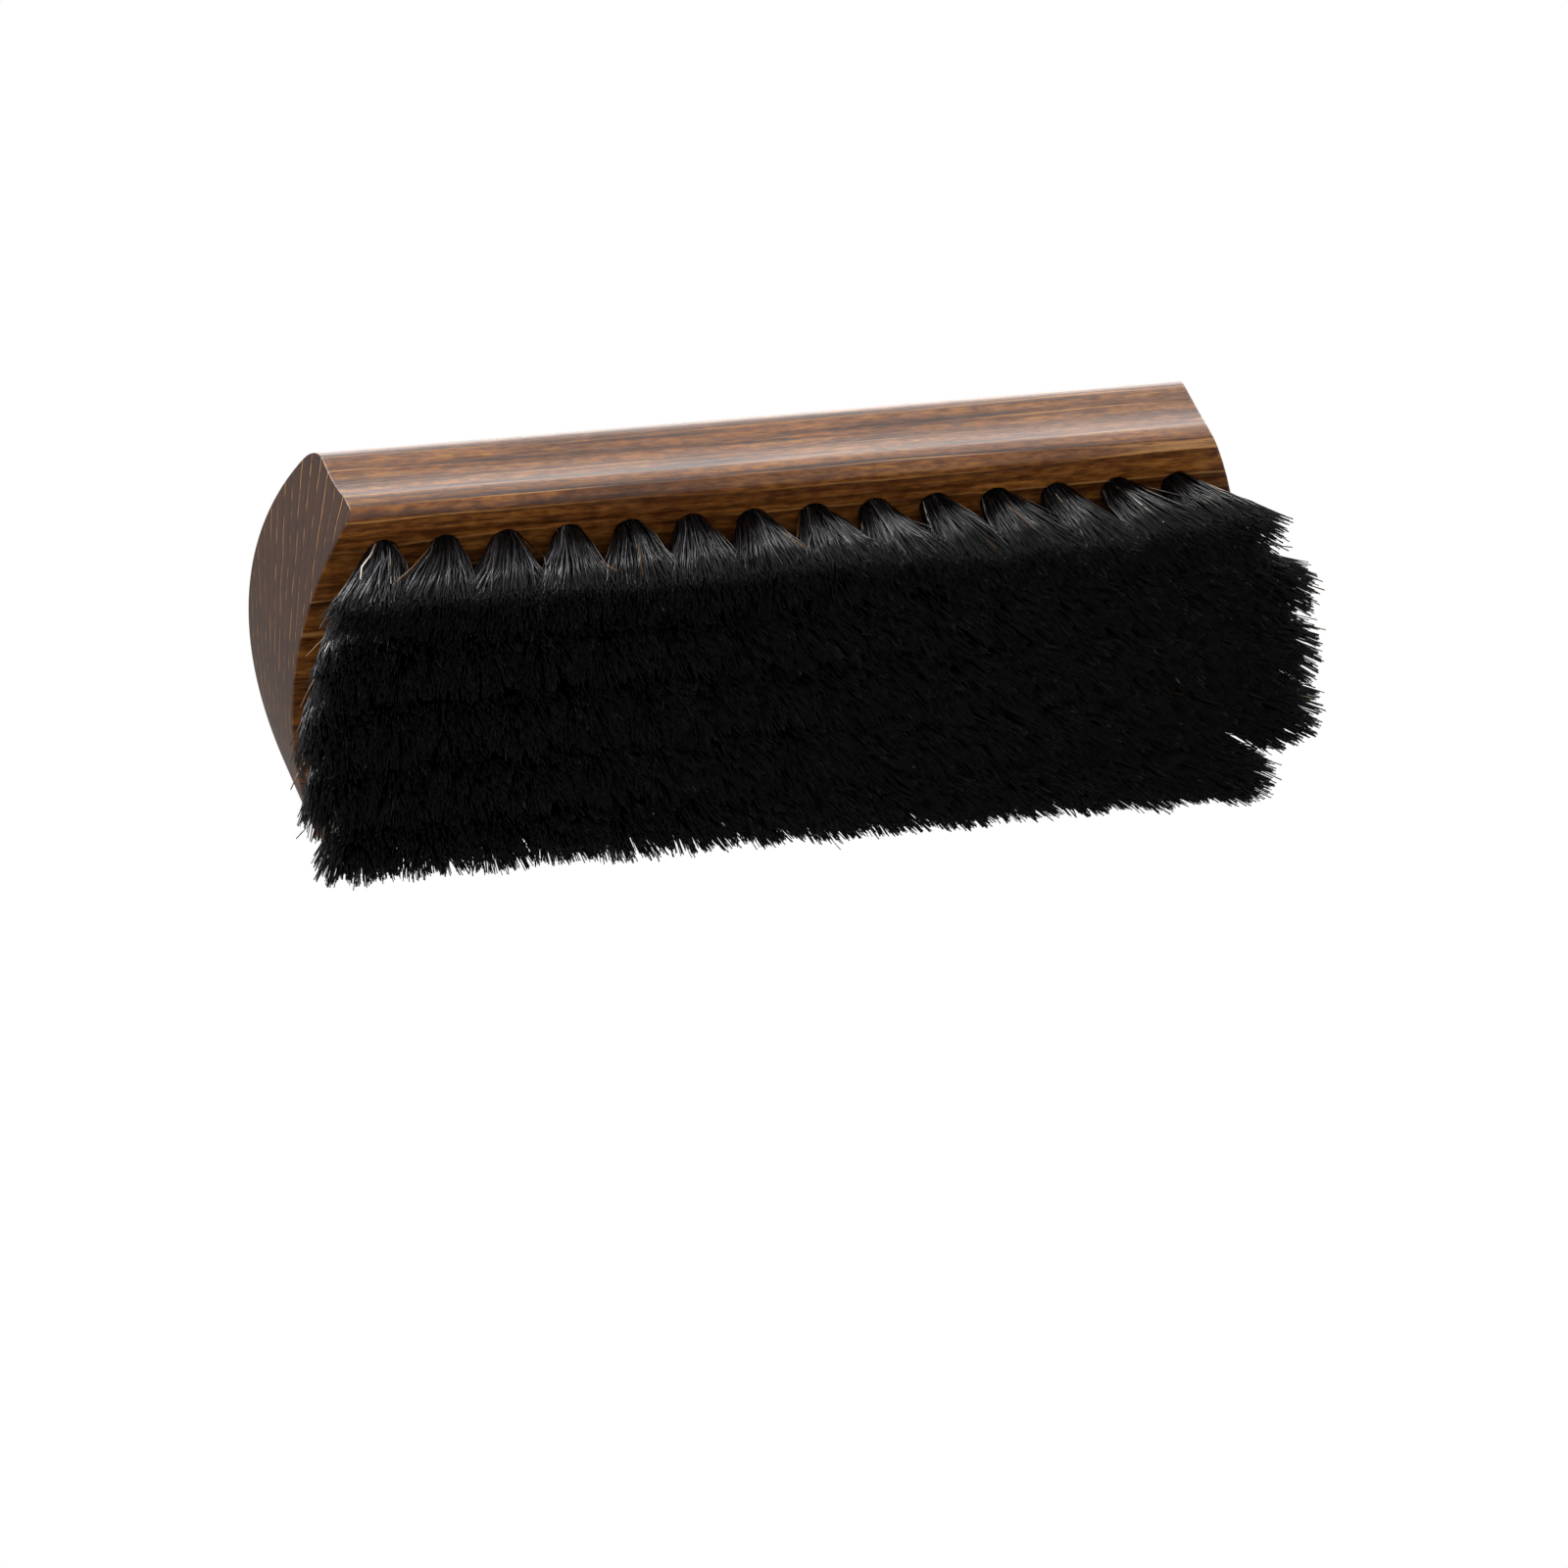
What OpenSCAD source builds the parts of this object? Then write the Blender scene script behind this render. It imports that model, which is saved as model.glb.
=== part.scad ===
// Shoe shine brush: a domed hardwood block with staple-set tufts of horsehair.
// Millimetres. The length lies along X, the dome looks up +Z, and the brush
// stands on the trimmed ends of its hair at z = 0.

/* [Wooden block] */
// Length of the block over its two bowed ends
block_len = 162.6; // [150:0.5:190]
// Width of the block across its widest line
block_w = 66.2; // [60:0.2:80]
// How far each bowed end stands out past its corners
end_bow = 7.2; // [3:0.5:12]
// Height from the hair face to the edge where the dome starts
side_h = 21; // [18:0.1:28]
// Rise of the dome above that edge
dome_rise = 7.5; // [3:0.1:10]
// Radius of the long edges between side and dome
top_edge_r = 5.8; // [2:0.1:8]
// Radius of the long edges between side and hair face
lower_edge_r = 1.6; // [0.5:0.1:2.5]
// Height of the lower band, up to the crisp line below the finger groove
band_h = 4.9; // [3:0.1:8]
// How much the lower band leans in on each side
band_taper = 0.1; // [0.05:0.05:1]
// Height of the hollow finger groove above the band
groove_h = 8; // [4:0.1:10]
// Depth of the hollow finger groove on each side
groove_depth = 0.8; // [0.5:0.05:2]
// How much each side leans in from the groove up to the dome
side_taper = 0.05; // [0.05:0.05:1]

/* [Tuft holes] */
// Diameter of the blind holes that hold the tufts
hole_d = 5.2; // [4:0.1:6]
// Depth of those holes
hole_depth = 12; // [9:0.5:14]
// From the widest line to the centres of the two outer rows
side_margin = 8.4; // [7:0.1:11]
// From the bowed end to the last tuft of the two outer rows
outer_row_margin = 9.1; // [8:0.1:14]
// From the bowed end to the last tuft of the rows next to them
second_row_margin = 6.8; // [6:0.1:12]
// From the bowed end to the last tuft of the middle row
middle_row_margin = 6; // [5:0.1:12]
// Tufts in each of the two outer rows
outer_row_count = 14; // [10:1:15]
// Tufts in each of the rows next to them
second_row_count = 15; // [11:1:16]
// Tufts in the middle row
middle_row_count = 16; // [12:1:17]

/* [Hair] */
// Free length of the hair below the hair face
hair_len = 16.6; // [12:0.1:30]
// Strands that stand for the hair of one tuft
strand_count = 6; // [5:1:6]
// Radius of a strand where it leaves the hole
strand_root_r = 0.78; // [0.5:0.02:0.8]
// Radius of a strand at its trimmed end
strand_tip_r = 1; // [0.5:0.05:1.2]
// Radius of the ring of strands at their trimmed ends
tuft_tip_r = 3.7; // [2.6:0.1:4]
// How much the brush's hair fans out lengthwise at its trimmed ends
fan_len = 0.14; // [0:0.01:0.16]
// How much the brush's hair fans out sideways at its trimmed ends
fan_side = 0.03; // [0:0.01:0.06]
// How far the bound neck of a tuft stands out of its hole
neck_len = 0.8; // [0.3:0.1:1.5]
// How far the strands run up inside the neck, which makes a tuft one solid
strand_sink = 0.3; // [0.2:0.05:0.5]
// Gap between the bound hair and the wall of its hole
tuft_clear = 0.05; // [0.02:0.01:0.2]

/* [Wire anchors] */
// Height of the flat wire piece that pins the fold of a tuft
anchor_h = 2.2; // [1.5:0.1:3]
// Thickness of that wire
anchor_t = 0.5; // [0.3:0.05:0.8]
// How far each end of the wire bites into the wood
anchor_bite = 0.6; // [0.3:0.05:0.9]
// Depth of folded hair between the wire and the bottom of the hole
fold_h = 1.4; // [0.8:0.1:2.5]
// Gap all round the wire in its slot
anchor_clear = 0.03; // [0.02:0.01:0.1]

/* [Hidden] */
$fn = 96;
// Cutters run past the solid that they cut by this much
over = 1;
row_count = 5;
middle_row = (row_count - 1) / 2;
counts = [outer_row_count, second_row_count, middle_row_count];
margins = [outer_row_margin, second_row_margin, middle_row_margin];
column_count = max(counts);

half_w = block_w / 2;
groove_y = half_w - band_taper;
waist_y = groove_y - groove_depth;
waist_z = band_h + groove_h;
dome_y = waist_y - side_taper;
groove_r = (pow(groove_depth, 2) + pow(groove_h, 2)) / (2 * groove_depth);
dome_r = (pow(dome_y, 2) + pow(dome_rise, 2)) / (2 * dome_rise);
dome_centre = [0, side_h + dome_rise - dome_r];
end_r = (pow(half_w, 2) + pow(end_bow, 2)) / (2 * end_bow);
end_centre_x = block_len / 2 - end_r;
hole_r = hole_d / 2;
plug_r = hole_r - tuft_clear;
row_pitch = (half_w - side_margin) / middle_row;
// Ring of strands inside the neck, clear of its rim
strand_ring_r = plug_r - strand_root_r;
anchor_z = hair_len + hole_depth - fold_h - anchor_h;
anchor_len = hole_d + 2 * anchor_bite;

function pad(n) = n < 10 ? str("0", n) : str(n);
function column_name(kind, c) = str(kind, "_column_", pad(c));

// Rows 0 and 4 are outer rows, row 2 is the middle one
function row_kind(row) = middle_row - abs(row - middle_row);
function row_y(row) = (row - middle_row) * row_pitch;
function end_x(y) = end_centre_x + sqrt(pow(end_r, 2) - pow(y, 2));
function row_span(row) = end_x(row_y(row)) - margins[row_kind(row)];
function row_tufts(row) = counts[row_kind(row)];
function tuft_x(row, i) = row_span(row) * (2 * i / (row_tufts(row) - 1) - 1);

// One column runs across the brush and holds the tuft of that number in each row
function column_spots(c) = [
    for (row = [0 : row_count - 1]) if (c <= row_tufts(row)) [tuft_x(row, c - 1), row_y(row)]
];

// How a strand curves outwards: 1 is straight, more keeps it upright for longer
ring_curve = 1.3;
lean_curve = 1.4;

// Centre line of a strand: t is 0 at the neck and 1 at the trimmed end
function strand_centre(spot, angle, t) =
    let (
        ring = strand_ring_r + (tuft_tip_r - strand_ring_r) * pow(t, ring_curve),
        lean = [fan_len * spot[0], fan_side * spot[1]] * pow(t, lean_curve)
    )
    spot + lean + ring * [cos(angle), sin(angle)];

function strand_radius(t) = strand_root_r + (strand_tip_r - strand_root_r) * t;

function strand_ring(spot, angle, t, z) =
    let (c = strand_centre(spot, angle, t), r = strand_radius(t))
    [for (a = [60, 180, 300]) [c[0] + r * cos(angle + a), c[1] + r * sin(angle + a), z]];

// Point where the long edge's rounding is centred, from the side line and the dome circle
side_dir = [-side_taper, side_h - waist_z] / norm([side_taper, side_h - waist_z]);
side_in = [-side_dir[1], side_dir[0]];
edge_start = [waist_y, waist_z] + top_edge_r * side_in;
edge_gap = edge_start - dome_centre;
edge_b = edge_gap * side_dir;
edge_t = -edge_b + sqrt(pow(edge_b, 2) - edge_gap * edge_gap + pow(dome_r - top_edge_r, 2));
edge_centre = edge_start + edge_t * side_dir;
groove_angle = asin(groove_h / groove_r);
side_angle = atan2(side_taper, side_h - waist_z);
dome_angle = atan2(edge_centre[1] - dome_centre[1], edge_centre[0]);
edge_steps = 6;
dome_steps = 18;

// Points of an arc from angle a to angle b
function arc(centre, r, a, b, steps) = [
    for (k = [0 : steps])
        let (angle = a + (b - a) * k / steps)
        centre + r * [cos(angle), sin(angle)]
];

// Half of the cross-section at +Y, from the hair face up to the middle of the dome
half_section = concat(
    arc([half_w - lower_edge_r, lower_edge_r], lower_edge_r, -90, 0, edge_steps),
    arc([waist_y + groove_r, waist_z], groove_r, 180 + groove_angle, 180, edge_steps),
    arc(edge_centre, top_edge_r, side_angle, dome_angle, edge_steps),
    arc(dome_centre, dome_r, dome_angle, 90, dome_steps)
);

function mirrored(points) = [for (k = [len(points) - 2 : -1 : 0]) [-points[k][0], points[k][1]]];

module block_section() {
    polygon(concat(half_section, mirrored(half_section)));
}

// Plan of the block at +X: the disc of the bowed end, and all that lies behind it
module end_plan() {
    translate([end_centre_x, 0]) circle(r = end_r);
    translate([-block_len, -block_w]) square([block_len, 2 * block_w]);
}

module block_plan() {
    intersection() {
        end_plan();
        mirror([1, 0]) end_plan();
        square([block_len + over, block_w + over], center = true);
    }
}

// Slot that the flat wire cuts across the fold and into the wood on both sides
module anchor_slot(spot) {
    translate([spot[0], spot[1], anchor_z + anchor_h / 2])
        cube([anchor_len, anchor_t, anchor_h] + 2 * anchor_clear * [1, 1, 1], center = true);
}

module block() {
    color("saddlebrown")
        difference() {
            intersection() {
                translate([0, 0, hair_len])
                    rotate([90, 0, 90])
                        linear_extrude(height = block_len + 2 * over, center = true) block_section();
                translate([0, 0, hair_len - over])
                    linear_extrude(height = side_h + dome_rise + 2 * over) block_plan();
            }
            for (c = [1 : column_count], spot = column_spots(c)) {
                translate([spot[0], spot[1], hair_len - over])
                    cylinder(d = hole_d, h = hole_depth + over);
                anchor_slot(spot);
            }
        }
}

// A curved strand of three sides, swept through rings from its trimmed end up into the neck
module strand(spot, angle) {
    neck_z = hair_len - neck_len;
    rings = concat(
        strand_ring(spot, angle, 1, 0),
        strand_ring(spot, angle, 0.5, neck_z / 2),
        strand_ring(spot, angle, 0, neck_z + strand_sink)
    );
    sides = [
        for (k = [0, 3], i = [0 : 2])
            let (j = (i + 1) % 3)
            each [[k + i, k + 3 + i, k + 3 + j], [k + i, k + 3 + j, k + j]]
    ];
    polyhedron(points = rings, faces = concat([[0, 1, 2], [8, 7, 6]], sides));
}

// A tuft: hair bound tight in its hole, then a fan of strands down to the trimmed ends
module tuft(spot) {
    difference() {
        translate([spot[0], spot[1], hair_len - neck_len])
            cylinder(r = plug_r, h = hole_depth + neck_len);
        anchor_slot(spot);
    }
    for (k = [0 : strand_count - 1]) strand(spot, 360 * (k + 0.5) / strand_count);
}

module tufts(c) {
    color("#1b1b1d")
        for (spot = column_spots(c)) tuft(spot);
}

// Flat wire pieces, one across the fold of each tuft
module anchors(c) {
    color("silver")
        for (spot = column_spots(c))
            translate([spot[0], spot[1], anchor_z + anchor_h / 2])
                cube([anchor_len, anchor_t, anchor_h], center = true);
}

block();
for (c = [1 : column_count]) {
    tufts(c);
    anchors(c);
}
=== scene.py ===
import math
import random

import bmesh
import bpy
from mathutils import Matrix, Vector


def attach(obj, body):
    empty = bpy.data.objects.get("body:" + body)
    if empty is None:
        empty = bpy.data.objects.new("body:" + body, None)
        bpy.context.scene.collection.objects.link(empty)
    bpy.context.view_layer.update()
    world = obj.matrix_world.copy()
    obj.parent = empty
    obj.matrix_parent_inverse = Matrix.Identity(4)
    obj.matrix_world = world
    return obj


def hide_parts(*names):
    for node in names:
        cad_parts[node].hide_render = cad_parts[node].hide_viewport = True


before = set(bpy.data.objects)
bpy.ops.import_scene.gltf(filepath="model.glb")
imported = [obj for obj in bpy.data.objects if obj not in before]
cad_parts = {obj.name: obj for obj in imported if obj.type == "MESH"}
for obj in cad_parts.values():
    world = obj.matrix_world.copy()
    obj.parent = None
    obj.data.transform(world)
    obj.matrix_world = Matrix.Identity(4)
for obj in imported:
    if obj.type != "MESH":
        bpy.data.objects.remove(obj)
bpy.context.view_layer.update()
print("frame loaded, nodes:", len(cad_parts))

mm = 0.001  # everything below is written in millimetres and made in metres


# Camera, worked out from the front row of tufts, the corners of the block and its end profile
cameraView = {
    "aim": (5.84, 29.69, 16.6),
    "distance": 2179.2,
    "azimuth": -26.23,     # degrees, as are elevation and roll
    "elevation": -49.85,   # the photo looks up at the hair from below
    "roll": -25.87,
    "lens": 300.11,
    "sensor": 36,
    "clip": (50, 50000),
}


def makeCamera(view):
    azimuth, elevation, roll = (math.radians(view[k]) for k in ("azimuth", "elevation", "roll"))
    back = Vector((
        math.sin(azimuth) * math.cos(elevation),
        -math.cos(azimuth) * math.cos(elevation),
        math.sin(elevation),
    ))
    level = (-back).cross(Vector((0, 0, 1))).normalized()
    upright = level.cross(-back)
    right = level * math.cos(roll) + upright * math.sin(roll)
    up = upright * math.cos(roll) - level * math.sin(roll)
    data = bpy.data.cameras.new("camera")
    data.lens = view["lens"]
    data.sensor_width = view["sensor"]
    data.clip_start, data.clip_end = (limit * mm for limit in view["clip"])
    camera = bpy.data.objects.new("camera", data)
    bpy.context.collection.objects.link(camera)
    place = Matrix((right, up, back)).transposed().to_4x4()
    place.translation = (Vector(view["aim"]) + back * view["distance"]) * mm
    camera.matrix_world = place
    bpy.context.scene.camera = camera


makeCamera(cameraView)
print("camera placed")


def srgb(text):
    # hex to the linear colour that the nodes work in
    parts = [int(text[i:i + 2], 16) / 255 for i in (1, 3, 5)]
    return [p / 12.92 if p <= 0.04045 else ((p + 0.055) / 1.055) ** 2.4 for p in parts] + [1.0]


def newMaterial(name):
    material = bpy.data.materials.new(name)
    material.use_nodes = True
    material.node_tree.nodes.clear()
    return material


def addNode(owner, kind, settings=None, inputs=None):
    # one node of a material or the world; an input that is given a socket is linked, any other is set
    node = owner.node_tree.nodes.new(kind)
    for name, value in (settings or {}).items():
        setattr(node, name, value)
    for name, value in (inputs or {}).items():
        if isinstance(value, bpy.types.NodeSocket):
            owner.node_tree.links.new(value, node.inputs[name])
        else:
            node.inputs[name].default_value = value
    return node


def setRamp(node, stops):
    ramp = node.color_ramp
    while len(ramp.elements) > 1:
        ramp.elements.remove(ramp.elements[-1])
    for k, (place, colour) in enumerate(stops):
        stop = ramp.elements[0] if k == 0 else ramp.elements.new(place)
        stop.position = place
        stop.color = srgb(colour)


# Wood of the block: beech, machined and sanded, stained walnut brown and sealed with satin lacquer.
# Beech takes stain unevenly: dark stripes and mottling, thin golden lines of late wood along the grain.
# Each pattern's size is in mm, across the grain and along it.
woodLook = {
    "ringSpacing": 2.9,
    "ringCentre": (13.0, 70.0),   # heart of the tree in y and z, above the dome
    "ringBend": (14.0, 60.0),
    "ringWander": 1.5,            # mm that a ring strays to either side
    "ringTones": [
        (0.0, "#825024"), (0.35, "#90602e"), (0.62, "#7c4c22"), (0.82, "#5c3718"), (0.88, "#5c3718"),
        (1.0, "#825024"),
    ],
    "fibre": (0.4, 22.0),
    "fibreTones": [(0.3, "#5e3a1a"), (0.5, "#865526"), (0.7, "#ac7834")],
    "fibreShare": 0.3,
    "stripe": (1.7, 60.0),
    "stripeTones": [(0.36, "#9c8b80"), (0.54, "#ffffff")],
    "mottle": (1.5, 3.2),
    "mottleTones": [(0.38, "#cdc2ba"), (0.58, "#ffffff")],
    "blotch": (16.0, 40.0),
    "blotchTones": [(0.34, "#cabdb2"), (0.6, "#ffffff")],
    "blotchShare": 0.9,
    "fleck": (0.6, 2.6),          # ray flecks
    "fleckTones": [(0.35, "#c6b9ac"), (0.58, "#ffffff")],
    "goldLine": [(0.87, "#000000"), (0.905, "#ffffff"), (0.945, "#ffffff"), (0.985, "#000000")],
    "goldPatch": (3.0, 30.0),     # a line of late wood before it fades
    "goldNoise": (0.42, 0.64),
    "goldShare": (0.05, 0.5),
    "gold": "#c08c52",
    "pore": (0.22, 3.2),          # as coarse as it needs to be to show
    "poreNoise": (0.6, 0.72),
    "poreShare": (0.0, 0.7),
    "poreColour": "#2e1d11",
    "endFacing": (0.5, 0.8),      # how squarely a face looks along X before it counts as end grain
    "endLoss": 0.85,              # share of the long-grain patterns that doesn't show there
    "endStain": "#665c57",
    "endRougher": 0.55,
    "roughness": (0.35, 0.23),    # from dark fibres to light ones
    "refraction": 1.4,
    "reliefHeight": 0.06,
    "reliefStrength": 0.25,
    "easedEdge": 0.5,             # radius that sanding leaves on every edge
}


def makeWood(look):
    wood = newMaterial("beech stained walnut, satin lacquer")
    place = addNode(wood, "ShaderNodeTexCoord").outputs["Object"]
    inMm = addNode(wood, "ShaderNodeMapping", inputs={"Vector": place, "Scale": (1 / mm,) * 3}).outputs[0]

    def grainNoise(size, detail, roughness=0.5):
        across, along = size
        stretched = addNode(wood, "ShaderNodeMapping", inputs={
            "Vector": inMm, "Scale": (1 / along, 1 / across, 1 / across),
        }).outputs[0]
        return addNode(wood, "ShaderNodeTexNoise", inputs={
            "Vector": stretched, "Scale": 1.0, "Detail": detail, "Roughness": roughness,
        }).outputs["Fac"]

    def tint(base, value, stops, amount):
        # lay a colour over the base where the value says so, by multiplying
        tone = addNode(wood, "ShaderNodeValToRGB", inputs={"Fac": value})
        setRamp(tone, stops)
        return addNode(wood, "ShaderNodeMix", {"data_type": "RGBA", "blend_type": "MULTIPLY"}, {
            0: amount, 6: base, 7: tone.outputs["Color"],
        }).outputs[2]

    # the bowed ends cut across the grain
    facing = addNode(wood, "ShaderNodeSeparateXYZ", inputs={
        0: addNode(wood, "ShaderNodeNewGeometry").outputs["True Normal"],
    }).outputs["X"]
    endOn = addNode(wood, "ShaderNodeMath", {"operation": "ABSOLUTE"}, {0: facing}).outputs[0]
    endGrain = addNode(wood, "ShaderNodeMapRange", inputs={
        "Value": endOn, "From Min": look["endFacing"][0], "From Max": look["endFacing"][1],
    }).outputs[0]
    longGrain = addNode(wood, "ShaderNodeMath", {"operation": "MULTIPLY_ADD"}, {
        0: endGrain, 1: -look["endLoss"], 2: 1.0,
    }).outputs[0]

    # growth rings run along X, so the end shows arcs and the sides show lines
    shift = addNode(wood, "ShaderNodeMath", {"operation": "MULTIPLY_ADD"}, {
        0: grainNoise(look["ringBend"], 2.0), 1: 2 * look["ringWander"], 2: -look["ringWander"],
    }).outputs[0]
    heartY, heartZ = look["ringCentre"]
    fromHeart = addNode(wood, "ShaderNodeMapping", inputs={
        "Vector": inMm, "Location": (0, -heartY, -heartZ), "Scale": (0, 1, 1),
    }).outputs[0]
    reach = addNode(wood, "ShaderNodeVectorMath", {"operation": "LENGTH"}, {0: fromHeart}).outputs["Value"]
    bentReach = addNode(wood, "ShaderNodeMath", {"operation": "ADD"}, {0: reach, 1: shift}).outputs[0]
    rings = addNode(wood, "ShaderNodeMath", {"operation": "DIVIDE"}, {
        0: bentReach, 1: look["ringSpacing"],
    }).outputs[0]
    ring = addNode(wood, "ShaderNodeMath", {"operation": "FRACT"}, {0: rings}).outputs[0]
    ringTone = addNode(wood, "ShaderNodeValToRGB", inputs={"Fac": ring})
    setRamp(ringTone, look["ringTones"])
    fibre = grainNoise(look["fibre"], 3.0, 0.6)
    fibreTone = addNode(wood, "ShaderNodeValToRGB", inputs={"Fac": fibre})
    setRamp(fibreTone, look["fibreTones"])
    fibreShare = addNode(wood, "ShaderNodeMath", {"operation": "MULTIPLY"}, {
        0: longGrain, 1: look["fibreShare"],
    }).outputs[0]
    grain = addNode(wood, "ShaderNodeMix", {"data_type": "RGBA", "blend_type": "MIX"}, {
        0: fibreShare, 6: ringTone.outputs["Color"], 7: fibreTone.outputs["Color"],
    }).outputs[2]

    # stain lies darker in long stripes, in mottling, in large patches and in short ray flecks
    grain = tint(grain, grainNoise(look["stripe"], 2.0), look["stripeTones"], longGrain)
    grain = tint(grain, grainNoise(look["mottle"], 3.0, 0.6), look["mottleTones"], longGrain)
    grain = tint(grain, grainNoise(look["blotch"], 4.0, 0.6), look["blotchTones"], look["blotchShare"])
    grain = tint(grain, grainNoise(look["fleck"], 2.0), look["fleckTones"], longGrain)

    # end grain drinks more stain
    grain = addNode(wood, "ShaderNodeMix", {"data_type": "RGBA", "blend_type": "MULTIPLY"}, {
        0: endGrain, 6: grain, 7: srgb(look["endStain"]),
    }).outputs[2]

    # late wood takes less stain and shows as thin golden lines that come and go
    line = addNode(wood, "ShaderNodeValToRGB", inputs={"Fac": ring})
    setRamp(line, look["goldLine"])
    patch = addNode(wood, "ShaderNodeMapRange", inputs={
        "Value": grainNoise(look["goldPatch"], 1.0),
        "From Min": look["goldNoise"][0], "From Max": look["goldNoise"][1],
        "To Min": look["goldShare"][0], "To Max": look["goldShare"][1],
    }).outputs[0]
    goldShare = addNode(wood, "ShaderNodeMath", {"operation": "MULTIPLY"}, {
        0: line.outputs["Color"], 1: patch,
    }).outputs[0]
    lined = addNode(wood, "ShaderNodeMix", {"data_type": "RGBA", "blend_type": "MIX"}, {
        0: goldShare, 6: grain, 7: srgb(look["gold"]),
    }).outputs[2]

    poreDark = addNode(wood, "ShaderNodeMapRange", inputs={
        "Value": grainNoise(look["pore"], 1.0),
        "From Min": look["poreNoise"][0], "From Max": look["poreNoise"][1],
        "To Min": look["poreShare"][0], "To Max": look["poreShare"][1],
    }).outputs[0]
    poreShare = addNode(wood, "ShaderNodeMath", {"operation": "MULTIPLY"}, {
        0: poreDark, 1: longGrain,
    }).outputs[0]
    pored = addNode(wood, "ShaderNodeMix", {"data_type": "RGBA", "blend_type": "MIX"}, {
        0: poreShare, 6: lined, 7: srgb(look["poreColour"]),
    }).outputs[2]

    # the lacquer sinks a little between fibres and into pores, and end grain stays rougher than the sides
    rounded = addNode(wood, "ShaderNodeBevel", {"samples": 6}, {
        "Radius": look["easedEdge"] * mm,
    }).outputs[0]
    height = addNode(wood, "ShaderNodeMath", {"operation": "SUBTRACT"}, {0: fibre, 1: poreShare}).outputs[0]
    relief = addNode(wood, "ShaderNodeBump", inputs={
        "Height": height, "Strength": look["reliefStrength"], "Distance": look["reliefHeight"] * mm,
        "Normal": rounded,
    }).outputs[0]
    sideRough = addNode(wood, "ShaderNodeMapRange", inputs={
        "Value": fibre, "From Min": 0.3, "From Max": 0.7,
        "To Min": look["roughness"][0], "To Max": look["roughness"][1],
    }).outputs[0]
    rough = addNode(wood, "ShaderNodeMath", {"operation": "MULTIPLY_ADD"}, {
        0: endGrain, 1: look["endRougher"], 2: sideRough,
    }).outputs[0]
    shader = addNode(wood, "ShaderNodeBsdfPrincipled", inputs={
        "Base Color": pored, "Roughness": rough, "Normal": relief, "IOR": look["refraction"],
    })
    addNode(wood, "ShaderNodeOutputMaterial", inputs={"Surface": shader.outputs[0]})
    return wood


# Hair: horsehair, washed and trimmed, dyed black but for the odd hair that was left pale or brown.
# It gleams where the lamps catch its lit sides. On top of that, its bluish grey tones are painted glints:
# the shade of each hair is in the mesh, given at random, and it changes a little along the hair.
hairLook = {
    # in the black hair this noise also moves the painted glints along each hair
    "change": (0.4, 4.0),   # mm across and along from one tone to the next
    "changeShare": 0.3,
    "refraction": 1.42,
    "kinds": [
        {"name": "horsehair dyed black with painted glints", "roughness": 0.3, "tones": [
            # the dyed hair's own black is in the darkest stops; the grey stops from 0.76 up are painted
            # glints
            (0.0, "#0a0a0b"), (0.56, "#0e0e10"), (0.76, "#1f1f22"), (0.88, "#424247"), (1.0, "#85848a"),
        ]},
        {"name": "undyed white horsehair", "roughness": 0.4, "tones": [(0.2, "#b9a98f"), (0.8, "#efe9df")]},
        {"name": "brown horsehair", "roughness": 0.4, "tones": [(0.2, "#4f3319"), (0.8, "#94693a")]},
    ],
}


def makeHair(look, kind):
    hair = newMaterial(kind["name"])
    shade = addNode(hair, "ShaderNodeAttribute", {"attribute_name": "shade"}).outputs["Fac"]
    place = addNode(hair, "ShaderNodeTexCoord").outputs["Object"]
    across, along = (1 / (size * mm) for size in look["change"])
    stretched = addNode(hair, "ShaderNodeMapping", inputs={
        "Vector": place, "Scale": (across, across, along),
    }).outputs[0]
    change = addNode(hair, "ShaderNodeTexNoise", inputs={
        "Vector": stretched, "Scale": 1.0, "Detail": 1.0,
    }).outputs["Fac"]
    mixed = addNode(hair, "ShaderNodeMath", {"operation": "MULTIPLY_ADD"}, {
        0: change, 1: look["changeShare"], 2: shade,
    }).outputs[0]
    centred = addNode(hair, "ShaderNodeMath", {"operation": "SUBTRACT"}, {
        0: mixed, 1: look["changeShare"] / 2,
    }).outputs[0]
    # tone from the hair's shade; in the black hair the light grey end of this ramp is painted glints
    tone = addNode(hair, "ShaderNodeValToRGB", inputs={"Fac": centred})
    setRamp(tone, kind["tones"])
    shader = addNode(hair, "ShaderNodeBsdfPrincipled", inputs={
        "Base Color": tone.outputs["Color"], "Roughness": kind["roughness"], "IOR": look["refraction"],
    })
    addNode(hair, "ShaderNodeOutputMaterial", inputs={"Surface": shader.outputs[0]})
    return hair


# Wire: drawn steel, flattened, with fine marks along its length from the rollers
wireLook = {
    "marksPerMetre": (200, 9000, 9000),
    "tones": [(0.3, "#8f9092"), (0.7, "#c4c5c7")],
    "roughness": (0.28, 0.45),
}


def makeWire(look):
    wire = newMaterial("flat drawn steel wire")
    place = addNode(wire, "ShaderNodeTexCoord").outputs["Object"]
    stretched = addNode(wire, "ShaderNodeMapping", inputs={
        "Vector": place, "Scale": look["marksPerMetre"],
    }).outputs[0]
    marks = addNode(wire, "ShaderNodeTexNoise", inputs={
        "Vector": stretched, "Scale": 1.0, "Detail": 2.0,
    }).outputs["Fac"]
    tone = addNode(wire, "ShaderNodeValToRGB", inputs={"Fac": marks})
    setRamp(tone, look["tones"])
    rough = addNode(wire, "ShaderNodeMapRange", inputs={
        "Value": marks, "To Min": look["roughness"][0], "To Max": look["roughness"][1],
    }).outputs[0]
    shader = addNode(wire, "ShaderNodeBsdfPrincipled", inputs={
        "Base Color": tone.outputs["Color"], "Metallic": 1.0, "Roughness": rough,
    })
    addNode(wire, "ShaderNodeOutputMaterial", inputs={"Surface": shader.outputs[0]})
    return wire


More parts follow.
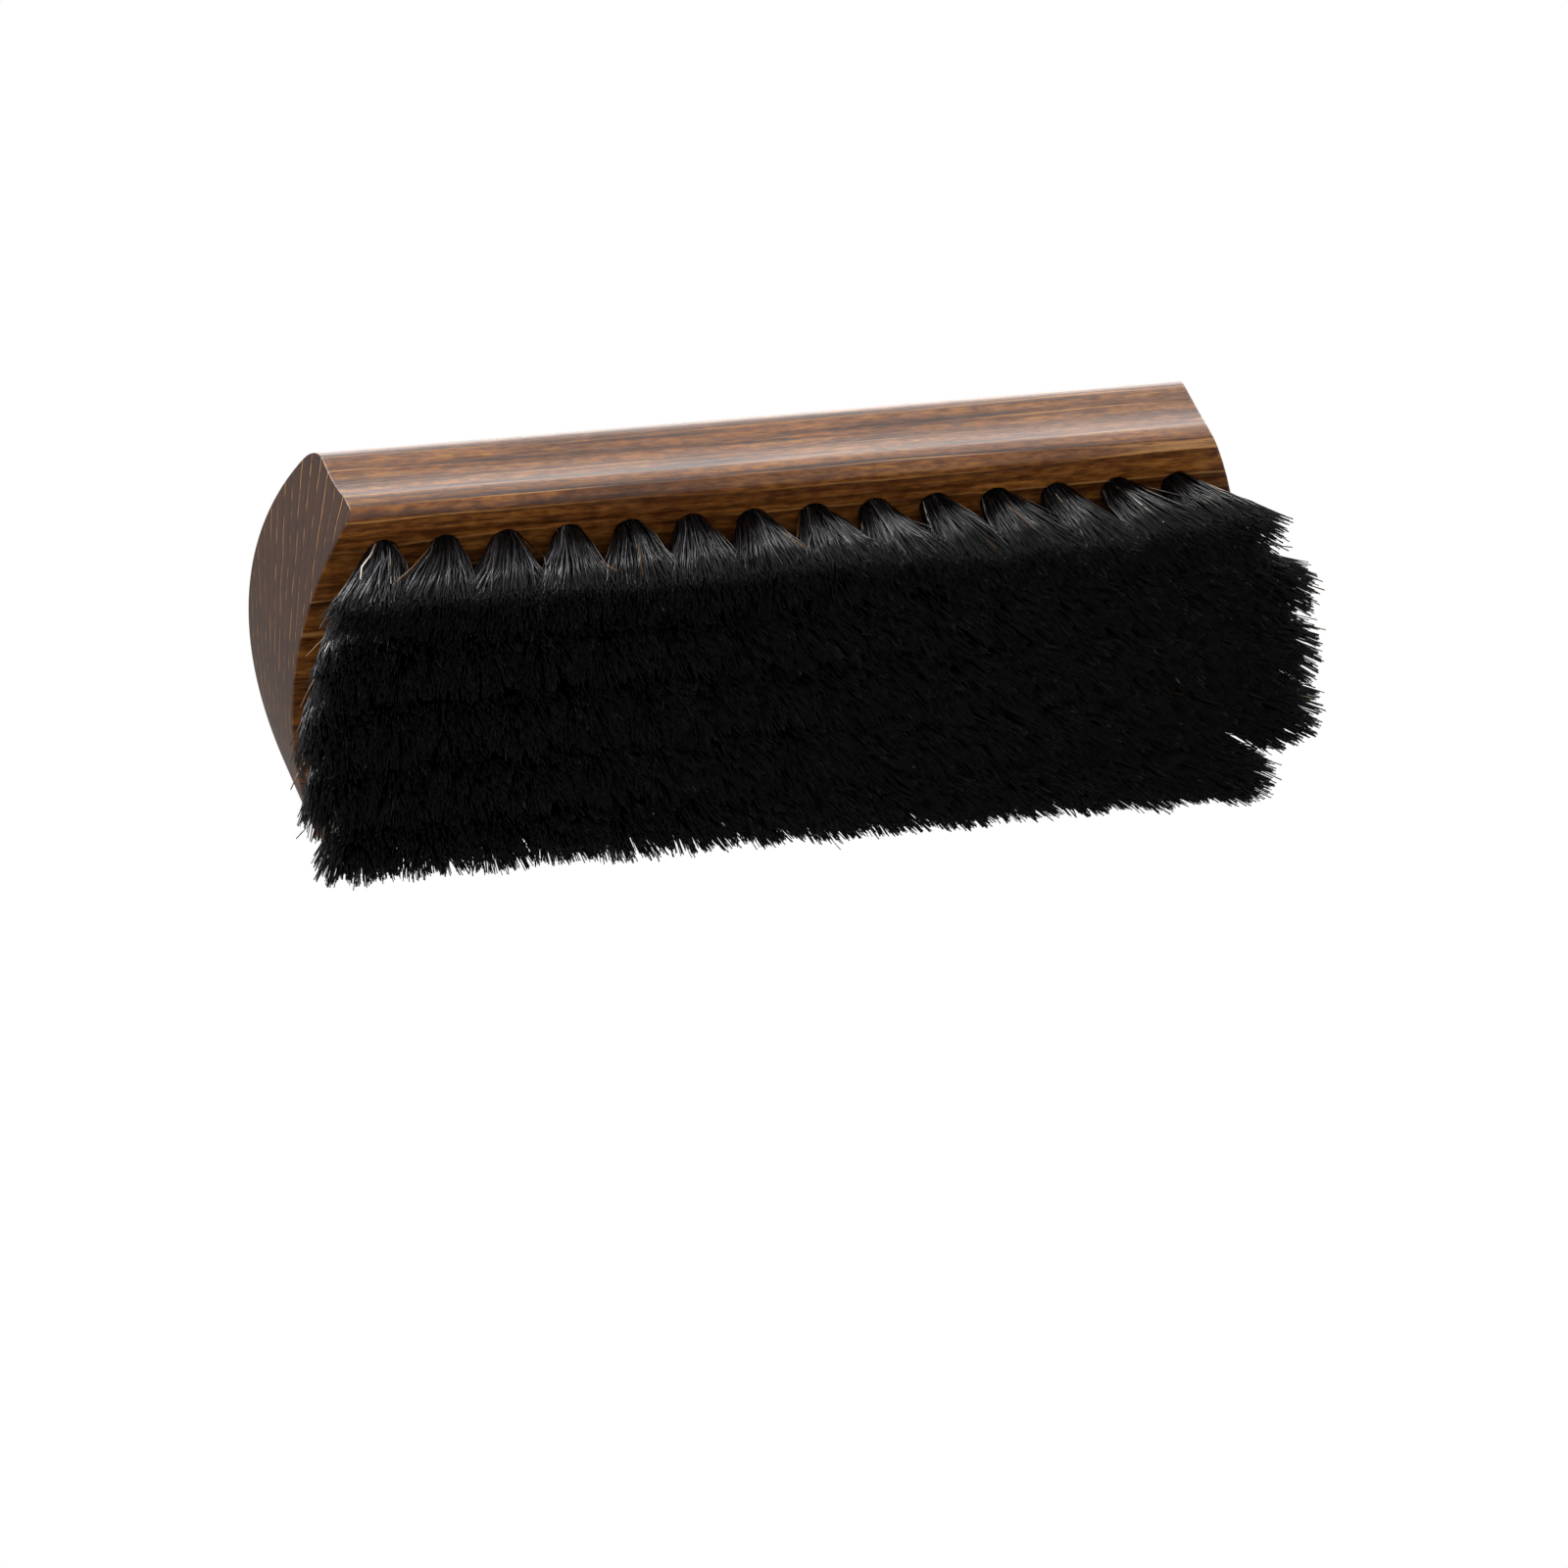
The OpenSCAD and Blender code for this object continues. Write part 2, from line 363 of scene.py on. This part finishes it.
wood = makeWood(woodLook)
hairKinds = [makeHair(hairLook, kind) for kind in hairLook["kinds"]]
wireSteel = makeWire(wireLook)
print("materials made")


# Block: the CAD block's own surface, merged, smooth over its roundings and crisp at its corners
blockShape = {
    "merge": 0.002,    # points nearer than this are one
    "sharpFrom": 28,   # degrees between faces from which an edge stays crisp
}


def makeBlock(shape):
    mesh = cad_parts["block"].data.copy()
    mesh.materials.clear()
    mesh.materials.append(wood)
    block = bpy.data.objects.new("wooden_block", mesh)
    bpy.context.collection.objects.link(block)
    b = bmesh.new()
    b.from_mesh(mesh)
    bmesh.ops.remove_doubles(b, verts=b.verts, dist=shape["merge"] * mm)
    for face in b.faces:
        face.smooth = True
        face.material_index = 0
    sharpFrom = math.radians(shape["sharpFrom"])
    for edge in b.edges:
        edge.smooth = len(edge.link_faces) == 2 and edge.calc_face_angle(0) < sharpFrom
    openEdges = sum(1 for edge in b.edges if len(edge.link_faces) != 2)
    b.to_mesh(mesh)
    b.free()
    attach(block, "root")
    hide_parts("block")
    return openEdges


print("block made, open edges:", makeBlock(blockShape))


# Hair field: five rows, staggered, that follow the bowed ends of the block
hairField = {
    "blockLength": 162.6,
    "halfWidth": 33.1,
    "endBow": 7.2,
    "face": 16.6,
    "rowCounts": (14, 15, 16, 15, 14),
    "rowMargins": (9.1, 6.8, 6.0, 6.8, 9.1),
    "sideMargin": 8.4,
}

# How the hair of one tuft leaves its hole and fans out, in mm at the tips unless said otherwise.
# Row 0 is the front one, and what is given for each row starts with it.
tuftShape = {
    "hairs": 760,
    "hairRadius": (0.1, 0.15),
    "stations": (-0.03, 0.3, 0.65, 1.0),  # points along a hair: 0 is at the hole, 1 is at the tip
    "tipTaper": 0.15,
    "neckRadius": 2.45,
    "splayCurve": 1.02,          # near 1 the hair spreads evenly from its hole to its tips
    "tipRadius": (7.3, 7.1),     # lengthwise and sideways
    "squareness": 0.45,          # tufts press on each other, so round bundles fill a squarer field
    "spread": (0.95, 1.05),      # from the tightest tuft to the loosest
    "leftReach": (6.3, 6.3, 6.3, 5.7, 9.3),  # each row's first tuft
    "rightReach": 6.9,           # its last tuft
    "frontReach": 2.0,           # the front row, outwards
    "frontFlare": (52.0, 0.18),  # from this x on the front row flares out, by this much per mm
    "backReach": 4.2,            # the back row, outwards
    "leanAcross": (0.4, 2.9, 3.4, 4.3, 4.5),           # lengthwise set of each row
    "fanAcross": (0.105, 0.089, 0.088, 0.112, 0.108),  # and its growth per mm from the middle
    "leanSide": 1.0,
    "fanSide": 0.02,
    "leanSpread": (0.4, 0.3),
    "leanCurve": 1.2,
    "locks": 64,                 # hair ends gather in small pointed locks
    "lockPull": 0.55,
    "lockPullSpread": (0.4, 1.2),
    "lockShade": 0.5,            # share of a hair's shade that it has from its lock
    "sag": 0.4,                  # how much shorter than the longest tuft one may be cut
    "lockCut": 0.3,
    "hairCut": 0.35,
    "loose": 0.42,
    "frontLoose": 0.9,
    "bend": 0.7,
    "curl": 0.35,
    "paleShare": 0.004,
    "brownShare": 0.005,
    "oddInner": 0.5,             # pale and brown hairs show where they have slipped to a tuft's outside
    "oddPull": 0.2,
    "oddThicker": 1.15,
    "strayShare": 0.035,
    "strayLoose": 1.3,
    "strayCut": 4,
    "strayBend": 1.1,
    "shades": 12,
    "plugDepth": 8.0,            # bound hair in the hole, up to the wire
    "plugStart": 0.3,
    "plugSides": 20,
    "merge": 0.0005,
    "seed": 400,
}


def tuftSpots(field):
    # place of every tuft, as column, row, x and y
    bow, half = field["endBow"], field["halfWidth"]
    endRadius = (half ** 2 + bow ** 2) / (2 * bow)
    middle = (len(field["rowCounts"]) - 1) / 2
    rowPitch = (half - field["sideMargin"]) / middle
    spots = []
    for row, count in enumerate(field["rowCounts"]):
        y = (row - middle) * rowPitch
        endX = field["blockLength"] / 2 - endRadius + math.sqrt(endRadius ** 2 - y ** 2)
        span = endX - field["rowMargins"][row]
        for k in range(count):
            spots.append((k + 1, row, span * (2 * k / (count - 1) - 1), y))
    return spots


def discPoint(chance, inner=0.0):
    r, a = math.sqrt(chance.uniform(inner, 1)), chance.uniform(0, 2 * math.pi)
    return Vector((r * math.cos(a), r * math.sin(a)))


def hairPaths(spot, shape, field, chance):
    # centre line, kind and shade of each hair of a tuft
    column, row, x, y = spot
    face = field["face"]
    lastRow = len(field["rowCounts"]) - 1
    lean = Vector((
        shape["leanAcross"][row] + shape["fanAcross"][row] * x + chance.gauss(0, shape["leanSpread"][0]),
        shape["leanSide"] + shape["fanSide"] * y + chance.gauss(0, shape["leanSpread"][1]),
    ))
    spread = chance.uniform(*shape["spread"])
    sag = chance.uniform(0, shape["sag"])
    locks = [
        (discPoint(chance), abs(chance.gauss(0, shape["lockCut"])), chance.random())
        for _ in range(shape["locks"])
    ]
    tipX, tipY = shape["tipRadius"]
    flareFrom, flare = shape["frontFlare"]
    thinnest, thickest = shape["hairRadius"]
    oddShare = shape["paleShare"] + shape["brownShare"]

    def tipOf(fan):
        wide = fan.length and max(abs(fan.x), abs(fan.y)) / fan.length
        fan = fan * spread / (wide ** shape["squareness"] if wide else 1)
        reachX, reachY = tipX, tipY
        if column == 1 and fan.x < 0:
            reachX = shape["leftReach"][row]
        if column == field["rowCounts"][row] and fan.x > 0:
            reachX = shape["rightReach"]
        if row == 0 and fan.y < 0:
            reachY = shape["frontReach"] + max(0, x - flareFrom) * flare
        if row == lastRow and fan.y > 0:
            reachY = shape["backReach"]
        return Vector((fan.x * reachX, fan.y * reachY))

    for _ in range(shape["hairs"]):
        pick = chance.random()
        kind = 1 if pick < shape["paleShare"] else 2 if pick < oddShare else 0
        own = discPoint(chance, shape["oddInner"] if kind else 0.0)
        lock, lockCut, lockShade = min(locks, key=lambda one: (one[0] - own).length_squared)
        pull = shape["lockPull"] * chance.uniform(*shape["lockPullSpread"])
        if kind:
            pull *= shape["oddPull"]
        stray = chance.random() < shape["strayShare"] or kind > 0
        loose = shape["strayLoose"] if stray else shape["frontLoose"] if row == 0 else shape["loose"]
        tip = tipOf(own) + Vector((chance.gauss(0, loose), chance.gauss(0, loose)))
        gather = (tipOf(lock) - tipOf(own)) * pull
        cut = sag + lockCut + abs(chance.gauss(0, shape["hairCut"]))
        if stray:
            cut += chance.uniform(0, shape["strayCut"])
        neck = own * shape["neckRadius"]
        bend = discPoint(chance) * (shape["strayBend"] if stray else shape["bend"])
        curl = discPoint(chance) * shape["curl"]
        thick = chance.uniform(thinnest, thickest) * (shape["oddThicker"] if kind else 1)
        points = []
        for t in shape["stations"]:
            u = max(t, 0)
            at = neck.lerp(tip, u ** shape["splayCurve"]) + gather * u ** 2
            at += lean * u ** shape["leanCurve"]
            at += bend * math.sin(math.pi * u) + curl * math.sin(2 * math.pi * u)
            z = face + (cut - face) * t
            points.append((x + at.x, y + at.y, z, thick * (1 - shape["tipTaper"] * u ** 2)))
        # the shade sets a hair's tone, partly shared with its lock; in the black hair its high values are
        # painted glints
        shade = shape["lockShade"] * lockShade + (1 - shape["lockShade"]) * chance.random()
        yield points, kind, min(int(shade * shape["shades"]), shape["shades"] - 1)


def makeSection():
    # three-sided section of 1 mm radius that each hair is swept with
    curve = bpy.data.curves.new("hair_section", "CURVE")
    curve.dimensions = "2D"
    spline = curve.splines.new("POLY")
    spline.points.add(2)
    for k, point in enumerate(spline.points):
        a = 2 * math.pi * k / 3
        point.co = (math.cos(a) * mm, math.sin(a) * mm, 0, 1)
    spline.use_cyclic_u = True
    section = bpy.data.objects.new("hair_section", curve)
    bpy.context.collection.objects.link(section)
    return section


def sweepHairs(spots, shape, field, section, chance):
    # mesh of every hair of these tufts; its slot number is kind times shades plus shade
    curve = bpy.data.curves.new("hair_lines", "CURVE")
    curve.dimensions = "3D"
    curve.bevel_mode = "OBJECT"
    curve.bevel_object = section
    curve.use_fill_caps = True
    curve.twist_mode = "MINIMUM"
    shades = shape["shades"]
    for k in range(len(hairKinds) * shades):
        curve.materials.append(hairKinds[k // shades])
    for spot in spots:
        for points, kind, shade in hairPaths(spot, shape, field, chance):
            spline = curve.splines.new("POLY")
            spline.points.add(len(points) - 1)
            places = [(x * mm, y * mm, z * mm, 1) for x, y, z, _ in points]
            spline.points.foreach_set("co", [value for place in places for value in place])
            spline.points.foreach_set("radius", [point[3] for point in points])
            spline.material_index = kind * shades + shade
    lines = bpy.data.objects.new("hair_lines", curve)
    bpy.context.collection.objects.link(lines)
    swept = lines.evaluated_get(bpy.context.evaluated_depsgraph_get())
    mesh = bpy.data.meshes.new_from_object(swept)
    bpy.data.objects.remove(lines)
    bpy.data.curves.remove(curve)
    return mesh


def addPlug(b, spot, shape, field):
    # bound hair that fills the hole, from just inside its mouth up to the wire
    _, _, x, y = spot
    depth, radius = shape["plugDepth"], shape["neckRadius"]
    plug = bmesh.ops.create_cone(
        b, cap_ends=True, segments=shape["plugSides"],
        radius1=radius * mm, radius2=radius * mm, depth=depth * mm,
    )
    middle = Vector((x, y, field["face"] + shape["plugStart"] + depth / 2)) * mm
    bmesh.ops.translate(b, verts=plug["verts"], vec=middle)


def makeTuftColumn(column, spots, shape, field, section):
    chance = random.Random(shape["seed"] + column)
    mesh = sweepHairs(spots, shape, field, section, chance)
    b = bmesh.new()
    b.from_mesh(mesh)
    mesh.materials.clear()
    for material in hairKinds:
        mesh.materials.append(material)
    shades = shape["shades"]
    # each hair's shade is kept on its faces; in the black hair it places the painted glints
    shadeLayer = b.faces.layers.float.new("shade")
    for face in b.faces:
        face[shadeLayer] = (face.material_index % shades + 0.5) / shades
        face.material_index = face.material_index // shades
    bmesh.ops.remove_doubles(b, verts=b.verts, dist=shape["merge"] * mm)
    for spot in spots:
        addPlug(b, spot, shape, field)
    bmesh.ops.recalc_face_normals(b, faces=b.faces)
    for face in b.faces:
        face.smooth = True
    openEdges = sum(1 for edge in b.edges if len(edge.link_faces) != 2)
    b.to_mesh(mesh)
    b.free()
    piece = bpy.data.objects.new("hair_column_%02d" % column, mesh)
    bpy.context.collection.objects.link(piece)
    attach(piece, "root")
    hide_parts("tufts_column_%02d" % column)
    return len(mesh.polygons), openEdges


section = makeSection()
allSpots = tuftSpots(hairField)
for column in range(1, max(hairField["rowCounts"]) + 1):
    mine = [spot for spot in allSpots if spot[0] == column]
    faces, openEdges = makeTuftColumn(column, mine, tuftShape, hairField, section)
    print("hair column", column, "faces", faces, "open edges", openEdges)
bpy.data.objects.remove(section)

for name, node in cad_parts.items():
    if name.startswith("anchors_column_"):
        node.data.materials.clear()
        node.data.materials.append(wireSteel)
print("hair and wire made")


# Floor: plain pale board that the brush stands on. The camera sees it from above only, with the
# brush's shadow on it, and it lets a quarter of the room's light reach the hair from below.
floorLook = {"size": 3000, "drop": 0.2, "colour": "#f2f1ef", "letThrough": 0.25}


def makeFloor(look):
    mesh = bpy.data.meshes.new("floor")
    b = bmesh.new()
    bmesh.ops.create_grid(b, x_segments=1, y_segments=1, size=look["size"] * mm)
    bmesh.ops.translate(b, verts=b.verts, vec=(0, 0, -look["drop"] * mm))
    b.to_mesh(mesh)
    b.free()
    floor = bpy.data.objects.new("floor", mesh)
    bpy.context.collection.objects.link(floor)
    paint = newMaterial("pale matt board")
    below = addNode(paint, "ShaderNodeNewGeometry").outputs["Backfacing"]
    seen = addNode(paint, "ShaderNodeLightPath").outputs["Is Camera Ray"]
    unseen = addNode(paint, "ShaderNodeMath", {"operation": "MULTIPLY_ADD"}, {
        0: seen, 1: -look["letThrough"], 2: look["letThrough"],
    }).outputs[0]
    through = addNode(paint, "ShaderNodeMath", {"operation": "MAXIMUM"}, {
        0: below, 1: unseen,
    }).outputs[0]
    matt = addNode(paint, "ShaderNodeBsdfDiffuse", inputs={"Color": srgb(look["colour"])})
    clear = addNode(paint, "ShaderNodeBsdfTransparent")
    mix = addNode(paint, "ShaderNodeMixShader", inputs={
        0: through, 1: matt.outputs[0], 2: clear.outputs[0],
    })
    addNode(paint, "ShaderNodeOutputMaterial", inputs={"Surface": mix.outputs[0]})
    mesh.materials.append(paint)


# Lamps: three square soft boxes, with place and side in mm, that look at the middle of the brush
lampAim = (0, 0, 20)
lamps = {
    "key": {"at": (-480, -700, 880), "side": 700, "watts": 22},
    "right": {"at": (850, 60, 820), "side": 600, "watts": 4},
    "top": {"at": (250, -60, 1100), "side": 900, "watts": 7},
}


def makeLamps(settings, aim):
    for name, lampSettings in settings.items():
        data = bpy.data.lights.new(name, "AREA")
        data.shape = "SQUARE"
        data.size = lampSettings["side"] * mm
        data.energy = lampSettings["watts"]
        lamp = bpy.data.objects.new(name, data)
        bpy.context.collection.objects.link(lamp)
        at = Vector(lampSettings["at"])
        lamp.location = at * mm
        lamp.rotation_euler = (Vector(aim) - at).to_track_quat("-Z", "Y").to_euler()


def makeWorld(ambient):
    # white wherever it is looked at or mirrored, and dimmer where it only lights the brush
    world = bpy.data.worlds.new("white studio")
    world.use_nodes = True
    world.node_tree.nodes.clear()
    rays = addNode(world, "ShaderNodeLightPath")
    seen = addNode(world, "ShaderNodeMath", {"operation": "MAXIMUM"}, {
        0: rays.outputs["Is Camera Ray"], 1: rays.outputs["Is Transmission Ray"],
    }).outputs[0]
    seenOrMirrored = addNode(world, "ShaderNodeMath", {"operation": "MAXIMUM"}, {
        0: seen, 1: rays.outputs["Is Glossy Ray"],
    }).outputs[0]
    strength = addNode(world, "ShaderNodeMapRange", inputs={
        "Value": seenOrMirrored, "To Min": ambient, "To Max": 1.0,
    }).outputs[0]
    background = addNode(world, "ShaderNodeBackground", inputs={
        "Color": (1, 1, 1, 1), "Strength": strength,
    })
    addNode(world, "ShaderNodeOutputWorld", inputs={"Surface": background.outputs[0]})
    bpy.context.scene.world = world


makeFloor(floorLook)
makeLamps(lamps, lampAim)
makeWorld(ambient=0.22)
bpy.context.scene.view_settings.view_transform = "Standard"
print("floor, lamps and world made")
